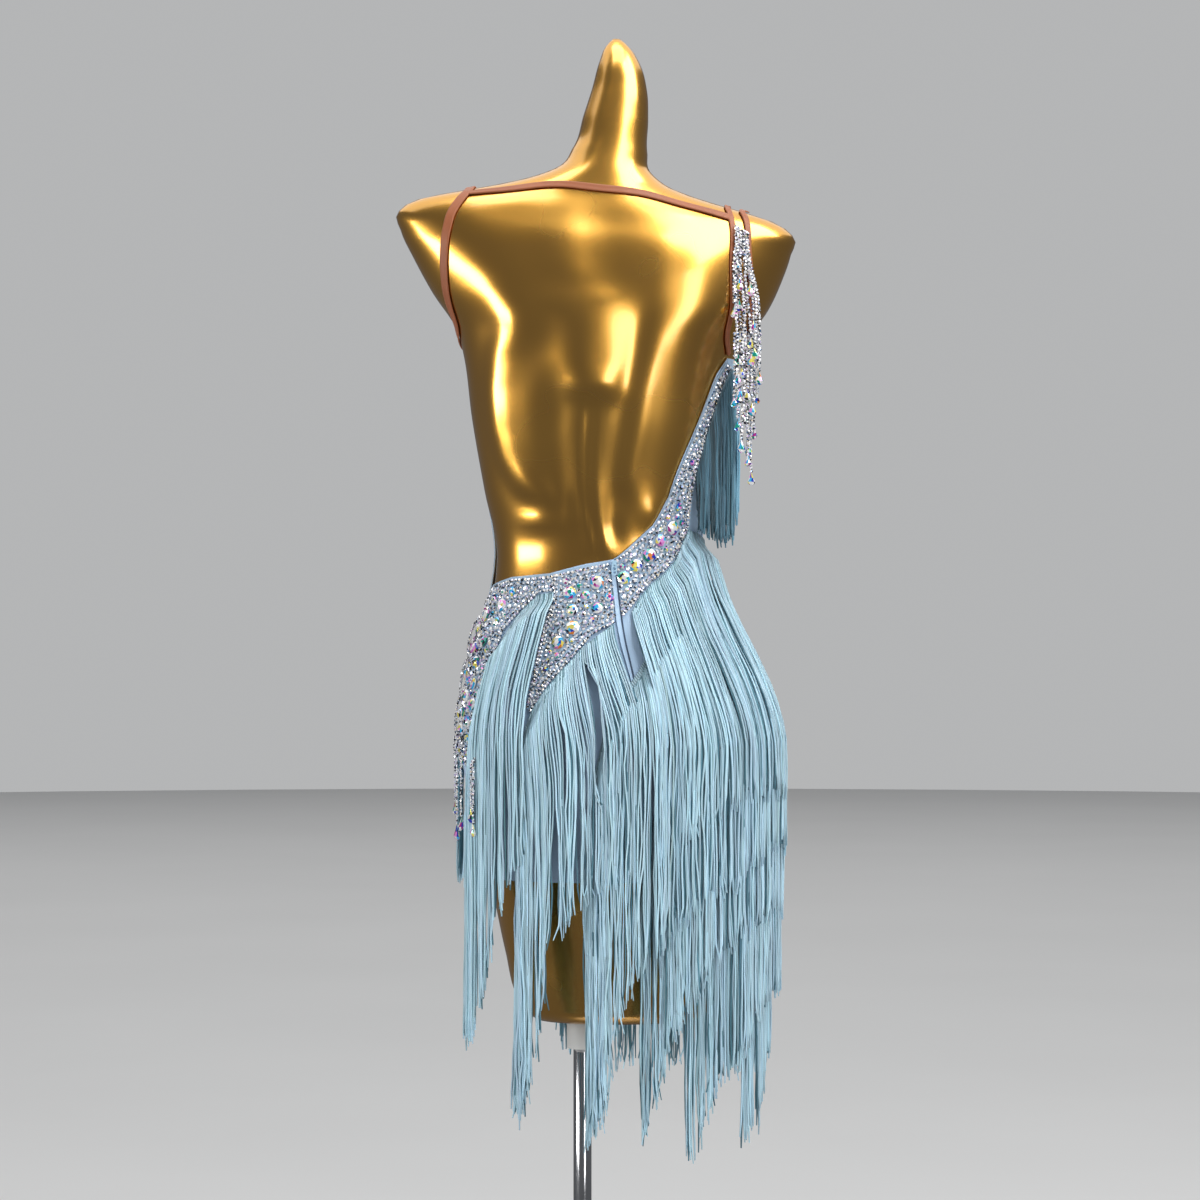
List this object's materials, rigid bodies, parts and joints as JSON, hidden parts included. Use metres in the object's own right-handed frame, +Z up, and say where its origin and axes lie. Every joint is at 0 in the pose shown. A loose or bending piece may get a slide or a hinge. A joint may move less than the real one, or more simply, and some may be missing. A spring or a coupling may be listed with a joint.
{
  "type": "salsa dance dress on a dress form",
  "caption": "Asymmetric open-back dance dress with stoned yokes, tiered long fringe, tan elastic straps and crystal chains, on a gold limbless dress form with a round-base stand.",
  "frame": {"origin": "middle of the round base's underside, on the floor, straight under the pole", "axes": "+Z up along the pole; the wearer faces -Y, so the open back faces +Y; +X is the wearer's left"},
  "size_m": [0.414, 0.33, 1.5793],
  "materials": {
    "form_gold": "satin gold lacquer",
    "stand_steel": "polished",
    "socket_white": "satin white",
    "stretch_cloth": "soft sheen stretch cloth",
    "stoned_cloth": "stretch cloth covered in clear and iridescent glass stones",
    "fringe_thread": "soft sheen chainette fringe",
    "elastic_tan": "satin elastic",
    "crystal_chain": "clear glass stones in bright metal cups",
    "zip_paint": "enamelled light blue"
  },
  "bodies": {
    "root": {"bodice_front": "stretch_cloth", "bodice_side_right": "stretch_cloth", "chains_hip": "crystal_chain", "chains_shoulder": "crystal_chain", "form_socket": "socket_white", "form_torso": "form_gold", "fringe_back_left": "fringe_thread", "fringe_back_right": "fringe_thread", "fringe_bust": "fringe_thread", "fringe_front_lower": "fringe_thread", "fringe_front_upper": "fringe_thread", "fringe_hip_left": "fringe_thread", "fringe_tier_1": "fringe_thread", "fringe_tier_2": "fringe_thread", "fringe_tier_3": "fringe_thread", "fringe_tier_4": "fringe_thread", "skirt_back_left": "stretch_cloth", "skirt_back_right": "stretch_cloth", "skirt_front": "stretch_cloth", "stand_base": "stand_steel", "stand_pole": "stand_steel", "strap_left": "elastic_tan", "strap_neck": "elastic_tan", "strap_right": "elastic_tan", "strap_right_arm": "elastic_tan", "yoke_back_left": "stoned_cloth", "yoke_back_right": "stoned_cloth", "yoke_hip_left": "stoned_cloth", "zip_placket": "stretch_cloth", "zip_slider": "zip_paint"},
    "zip_pull": {"zip_pull": "zip_paint"}
  },
  "joints": [
    {"name": "zip_pull_hinge", "type": "hinge", "parent": "root", "child": "zip_pull", "pos_m": [-0.03306, 0.07717, 1.02604], "axis": [1, 0, 0], "range_deg": [0, 150]}
  ]
}
